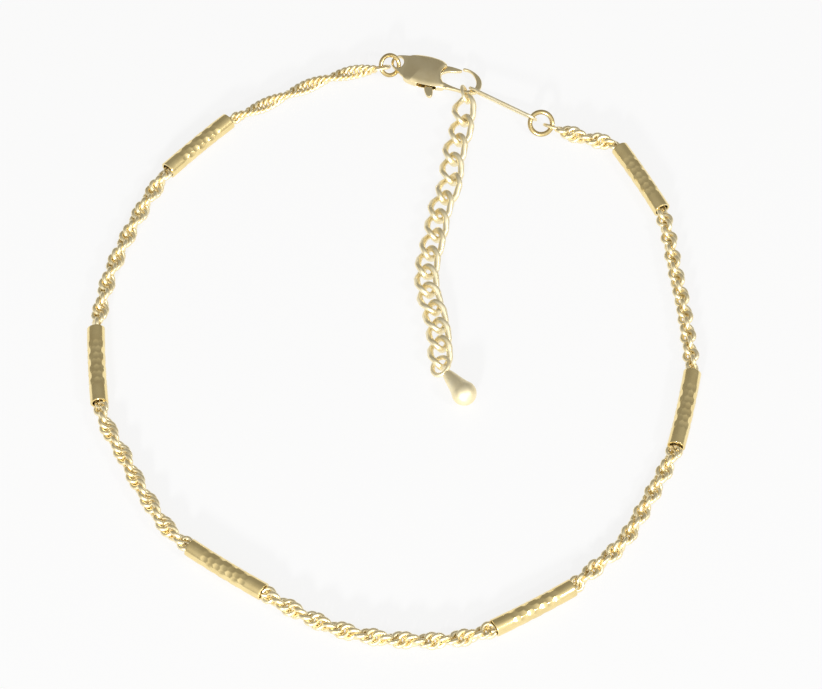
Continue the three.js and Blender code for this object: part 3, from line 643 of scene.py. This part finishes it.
add_ring("clasp_ring", CLASP_RING_OD, FINE_RING_WIRE, clasp_ring_frame)

end_ring_radius = (END_RING_OD - END_RING_WIRE) / 2
end_ring_centre = on_loop(*END_RING_PLACE, ring_height(END_RING_OD, END_RING_WIRE, END_RING_TILT))
end_ring_frame = ring_frame(end_ring_centre, 0, END_RING_TILT)
add_ring("end_ring", END_RING_OD, FINE_END_RING_WIRE, end_ring_frame)

# Connector link.
hook_seat = clasp_frame @ Vector((HOOK_SEAT[0] * CLASP_LENGTH, HOOK_SEAT[1] * CLASP_WIDTH, hook_height))
ring_seat = ring_point(end_ring_frame, end_ring_radius, CONNECTOR_AT)
way = ring_seat - hook_seat
reach = way.length + HOOK_WIRE / 2 + END_RING_WIRE / 2 + 2 * CONNECTOR_GAP + CONNECTOR_WIRE
along = way.normalized()
centre = hook_seat + along * (-HOOK_WIRE / 2 - CONNECTOR_GAP - CONNECTOR_WIRE / 2 + reach / 2)
points, faces = wire_link(reach + CONNECTOR_WIRE, CONNECTOR_WIDTH, CONNECTOR_WIRE, steps=64, sides=14)
connector_frame = frame_at(centre, along, math.radians(CONNECTOR_ROLL))
connector = make("connector_link_fine", moved(points, connector_frame), faces, EXTENDER_GOLD)
dress(connector, "anklet", "clasp_gold", "connector_link")


# Twisted chains.
def end_link(ring, radius, wire, angle, along):
    """The end of a chain's way at a ring, and the roll of the link that hangs there."""
    seat = ring_point(ring, radius, angle)
    inward = wire / 2 + RING_GAP + END_LINK_WIRE
    roll = roll_on_wire(along, ring_tangent(ring, angle))
    return seat + along * (-inward + END_LINK_LENGTH / 2), roll


def level(vector):
    """The direction of this vector along the plane."""
    flat = Vector((vector.x, vector.y, 0))
    return flat.normalized()


def chain_way(number):
    """The curve of a chain from end to end, and the end links: length, width, wire and roll."""
    height = LINK_WIDTH / 2 + FLOOR_GAP
    pts = [on_loop(x, y, height) for x, y in CHAINS[number - 1]]
    starts = ends = (LINK_PITCH + LINK_WIRE + NECK_WIRE, FINE_NECK_WIDTH, FINE_NECK_WIRE, 0.0)
    if number > 1:
        _, end, _, out = bar_ends[number - 2]
        pts.insert(0, end - out * NECK_DEPTH)
    else:
        along = level(pts[0] - clasp_ring_centre)
        point, roll = end_link(
            clasp_ring_frame, clasp_ring_radius, CLASP_RING_WIRE, FIRST_CHAIN_AT, along
        )
        pts.insert(0, point)
        starts = (END_LINK_LENGTH, END_LINK_WIDTH, END_LINK_WIRE, roll)
    if number < LAST_CHAIN:
        start, _, into, _ = bar_ends[number - 1]
        pts.append(start + into * NECK_DEPTH)
    else:
        back = level(pts[-1] - end_ring_centre)
        point, _ = end_link(end_ring_frame, end_ring_radius, END_RING_WIRE, LAST_CHAIN_AT, back)
        roll = roll_on_wire(-back, ring_tangent(end_ring_frame, LAST_CHAIN_AT))
        pts.append(point)
        ends = (END_LINK_LENGTH, END_LINK_WIDTH, END_LINK_WIRE, roll)
    return Curve(pts), starts, ends


def add_chain(number):
    """One chain: its two end links, and the dense row of links between them."""
    curve, starts, ends = chain_way(number)
    all_points, all_faces = [], []

    def put(link, point, along, roll):
        shape, faces = link
        base = sum(map(len, all_points))
        all_points.append(moved(shape, frame_at(point, along, roll)))
        all_faces.extend(tuple(base + v for v in f) for f in faces)

    slow = number == 1
    wire, pitch = (SLOW_WIRE, SLOW_PITCH) if slow else (LINK_WIRE, LINK_PITCH)
    step = curve.length / round(curve.length / pitch)
    reach = step + WIRE_OVERLAP * wire - FUSE
    for (length, width, end_wire, roll), share, side in ((starts, 0.0, -1), (ends, 1.0, 1)):
        along = curve.tangent(share)
        point = curve.at(share) + along * (side * (length - reach - wire) / 2)
        put(wire_link(length, width, end_wire), point, along, roll)

    low, high = 0.0, curve.length
    if slow:
        link = wire_link(
            FINE_SLOW_LENGTH, FINE_SLOW_WIDTH, FINE_SLOW_WIRE, SLOW_OWN_TWIST, flat=FINE_SLOW_FLAT
        )
        length, pitch = FINE_SLOW_LENGTH, FINE_SLOW_PITCH
        first_roll, turning = starts[-1], math.radians(SLOW_TURN) / SLOW_PITCH
    else:
        link = wire_link(FINE_LENGTH, FINE_WIDTH, FINE_WIRE, FINE_OWN_TWIST)
        lobe, pitch = FINE_RHYTHM[number]
        length = FINE_LENGTH
        first_roll, turning = 0.0, math.pi / lobe
        low -= FINE_DEPTH
        high += FINE_DEPTH if number < LAST_CHAIN else 0
    room = high - low - length
    count = round(room / pitch)
    for i in range(count + 1):
        place = low + length / 2 + room * i / count
        share = place / curve.length
        put(link, curve.at(share), curve.tangent(share), first_roll + turning * place)
    chain = make(f"chain_{number}_links", np.concatenate(all_points), all_faces, CHAIN)
    dress(chain, "anklet", "chain_gold", f"chain_{number}")


for number in range(1, LAST_CHAIN + 1):
    add_chain(number)

# Extension chain: the first link stands on the hook's arm, the others lie along their route.
arm_seat = clasp_frame @ Vector((ARM_SEAT[0] * CLASP_LENGTH, ARM_SEAT[1] * CLASP_WIDTH, 0))
extender_length = EXTENDER_PITCH + 2 * EXTENDER_WIRE + EXTENDER_PLAY
extender_reach = (extender_length - EXTENDER_WIRE) / 2
link_low, link_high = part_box("extender_link_2")
extender_height = (link_low.z + link_high.z) / 2 / MM
extender = Curve([
    (arm_seat.x + x * EXTENDER_PITCH, arm_seat.y + y * EXTENDER_PITCH, extender_height)
    for x, y in EXTENDER
])


def extender_share(i):
    """The share of the route at the middle of link i."""
    pairs_before = i * (i - 1) / 2
    return (i * EXTENDER_PITCH - pairs_before * EXTENDER_CLOSER) / extender.length


thicker = FINE_EXTENDER_WIRE - EXTENDER_WIRE
shape, faces = wire_link(
    extender_length + thicker, EXTENDER_WIDTH + thicker, FINE_EXTENDER_WIRE, EXTENDER_TWIST,
    steps=56, sides=16, oval=FINE_EXTENDER_ROUND,
)
for i in range(EXTENDER_LINKS):
    share = extender_share(i)
    matrix = frame_at(extender.at(share), extender.tangent(share), 0)
    link = make(f"extender_link_{i + 2}_fine", moved(shape, matrix), faces, EXTENDER_GOLD)
    dress(link, "anklet", "chain_gold", f"extender_link_{i + 2}")

lying_end = extender.at(0) - extender.tangent(0) * extender_reach
first_way = lying_end - arm_seat
first_way.z = 0
first_start = ARM_WIRE / 2 + FIRST_LINK_GAP + FIRST_LINK_WIRE
first_end = first_way.length + EXTENDER_WIRE / 2 + FIRST_LINK_GAP + FIRST_LINK_WIRE
first_way.normalize()
centre = arm_seat + first_way * ((first_end - first_start) / 2)
centre.z = ring_height(FIRST_LINK_WIDTH, FIRST_LINK_WIRE, abs(FIRST_LINK_ROLL))
shape, faces = wire_link(first_start + first_end, FIRST_LINK_WIDTH, FIRST_LINK_WIRE, steps=40, sides=14)
first_frame = frame_at(centre, first_way, math.radians(FIRST_LINK_ROLL))
first = make("extender_link_1_fine", moved(shape, first_frame), faces, EXTENDER_GOLD)
dress(first, "anklet", "chain_gold", "extender_link_1")

# Drop: a teardrop whose eye hangs in the last link.
eye_radius = (DROP_EYE_OD - DROP_EYE_WIRE) / 2
last_share = extender_share(EXTENDER_LINKS - 1)
last_way = extender.tangent(last_share)
drop_eye = extender.at(last_share) + last_way * (
    extender_reach - EXTENDER_WIRE / 2 - DROP_EYE_DEPTH + eye_radius
)
drop_eye.z = ring_height(DROP_EYE_OD, DROP_EYE_WIRE, DROP_EYE_ROLL)
bulb = DROP_BULB / 2
bulb_at = DROP_LENGTH - bulb
way = Vector((
    math.cos(math.radians(DROP_HEADING)),
    math.sin(math.radians(DROP_HEADING)),
    (bulb + FLOOR_GAP - drop_eye.z) / bulb_at,
))
neck_low, neck_high = eye_radius + DROP_COLLAR_AT, bulb_at + bulb * math.sin(TANGENT_AT)
neck_span = neck_high - neck_low
profile = [(0.0, eye_radius), (DROP_NECK * DROP_TIP, eye_radius)]
for i in range(NECK_STEPS + 1):
    t = i / NECK_STEPS
    r = (
        (2 * t**3 - 3 * t**2 + 1) * DROP_NECK * DROP_COLLAR
        + (t**3 - 2 * t**2 + t) * neck_span * DROP_FLARE
        + (3 * t**2 - 2 * t**3) * bulb * math.cos(TANGENT_AT)
        - (t**3 - t**2) * neck_span * math.tan(TANGENT_AT)
    )
    profile.append((r, neck_low + neck_span * t))
for i in range(1, BULB_STEPS + 1):
    a = TANGENT_AT + (math.pi / 2 - TANGENT_AT) * i / BULB_STEPS
    profile.append((max(bulb * math.cos(a), 0.0), bulb_at + bulb * math.sin(a)))
points, faces = [], []
for r, x in profile:
    for j in range(DROP_TURNS):
        a = 2 * math.pi * j / DROP_TURNS
        points.append((x, max(r, DROP_POINT) * math.cos(a), max(r, DROP_POINT) * math.sin(a)))
for i in range(len(profile) - 1):
    for j in range(DROP_TURNS):
        n = (j + 1) % DROP_TURNS
        faces.append((i * DROP_TURNS + j, i * DROP_TURNS + n,
                      (i + 1) * DROP_TURNS + n, (i + 1) * DROP_TURNS + j))
base = len(points)
eye_points, eye_faces = wire_link(DROP_EYE_OD, DROP_EYE_OD, DROP_EYE_WIRE, steps=48, sides=16)
points = np.concatenate([
    moved(points, frame_at(drop_eye, way, 0)),
    moved(eye_points, frame_at(drop_eye, last_way, math.radians(DROP_EYE_ROLL))),
])
faces += [tuple(base + v for v in f) for f in eye_faces]
drop = make("end_drop_fine", points, faces, DROP_GOLD)
dress(drop, "anklet", "chain_gold", "end_drop")

# Floor, light and camera.
FLOOR_REACH, FLOOR_SINK = 1.2, 0.02 * MM
FLOOR_COLOUR, FLOOR_ROUGHNESS, FLOOR_GLOSS, FLOOR_GLOW = (0.14, 0.14, 0.141, 1), 0.9, 0.1, 0.825
floor_material = bpy.data.materials.new("floor")
floor_material.use_nodes = True
floor_shader = floor_material.node_tree.nodes["Principled BSDF"]
floor_shader.inputs["Base Color"].default_value = FLOOR_COLOUR
floor_shader.inputs["Roughness"].default_value = FLOOR_ROUGHNESS
floor_shader.inputs["Specular IOR Level"].default_value = FLOOR_GLOSS
floor_shader.inputs["Emission Color"].default_value = (1, 1, 1, 1)
floor_shader.inputs["Emission Strength"].default_value = FLOOR_GLOW
floor_mesh = bpy.data.meshes.new("floor")
corners = [(-1, -1), (1, -1), (1, 1), (-1, 1)]
floor_mesh.from_pydata([(x * FLOOR_REACH, y * FLOOR_REACH, 0) for x, y in corners], [], [(0, 1, 2, 3)])
floor_mesh.materials.append(floor_material)
floor = placed("floor", floor_mesh)
floor.location.z = min(cad_low.z, 0) - FLOOR_SINK

# The sky is bright low in front and darkens over the top towards the back.
SKY_FRONT, SKY_STRENGTH = (0.15, -0.85, 0.5), 1.1
SKY_DARK, SKY_BRIGHT = (0.2, (0.27, 0.26, 0.24, 1)), (0.95, (1.0, 1.0, 1.0, 1))
SKY_BETWEEN = ((0.42, 0.28), (0.56, 0.36), (0.72, 0.44), (0.85, 0.8))
SKY_WARMTH = (1.0, 0.98, 0.94)
world = bpy.data.worlds.new("studio")
bpy.context.scene.world = world
world.use_nodes = True
nodes, links = world.node_tree.nodes, world.node_tree.links
background = nodes["Background"]
direction = nodes.new("ShaderNodeTexCoord")
front = nodes.new("ShaderNodeVectorMath")
front.operation = "DOT_PRODUCT"
front.inputs[1].default_value = SKY_FRONT
links.new(direction.outputs["Generated"], front.inputs[0])
ramp = nodes.new("ShaderNodeValToRGB")
spread = nodes.new("ShaderNodeMapRange")
spread.inputs["From Min"].default_value = -1.0
links.new(front.outputs["Value"], spread.inputs["Value"])
links.new(spread.outputs[0], ramp.inputs[0])
stops = ramp.color_ramp.elements
stops[0].position, stops[0].color = SKY_DARK
stops[1].position, stops[1].color = SKY_BRIGHT
for position, bright in SKY_BETWEEN:
    stops.new(position).color = (*(bright * share for share in SKY_WARMTH), 1)
links.new(ramp.outputs[0], background.inputs["Color"])
background.inputs["Strength"].default_value = SKY_STRENGTH


def area(name, place, size, power):
    """A round lamp of this size in metres and power in watts, turned to the origin."""
    light = bpy.data.lights.new(name, "AREA")
    light.shape = "DISK"
    light.size = size
    light.energy = power
    lamp = placed(name, light)
    lamp.location = place
    lamp.rotation_mode = "QUATERNION"
    lamp.rotation_quaternion = (-Vector(place)).to_track_quat("-Z", "Y")


area("key", (-0.12, -0.6, 0.22), 0.07, 3.0)
area("side", (0.45, -0.3, 0.4), 0.06, 0.9)

# The camera: its angle over the plane, its focal length and the picture's width in pixels, and
# millimetres per pixel.
ELEVATION, FOCAL, PICTURE_WIDTH, SCALE = math.radians(58), 3500.0, 822, 0.117
SENSOR = 36.0
target = Vector((SHIFT.x, SHIFT.y, 0)) * MM
back = Vector((0, -math.cos(ELEVATION), math.sin(ELEVATION)))
camera_data = bpy.data.cameras.new("camera")
camera_data.sensor_width = SENSOR
camera_data.lens = SENSOR * FOCAL / PICTURE_WIDTH
camera_data.clip_start, camera_data.clip_end = 0.01, 10.0
camera = placed("camera", camera_data)
camera.location = target + back * (FOCAL * SCALE * MM)
camera.rotation_mode = "QUATERNION"
camera.rotation_quaternion = (-back).to_track_quat("-Z", "Y")
bpy.context.scene.camera = camera
bpy.context.scene.view_settings.view_transform = "Standard"
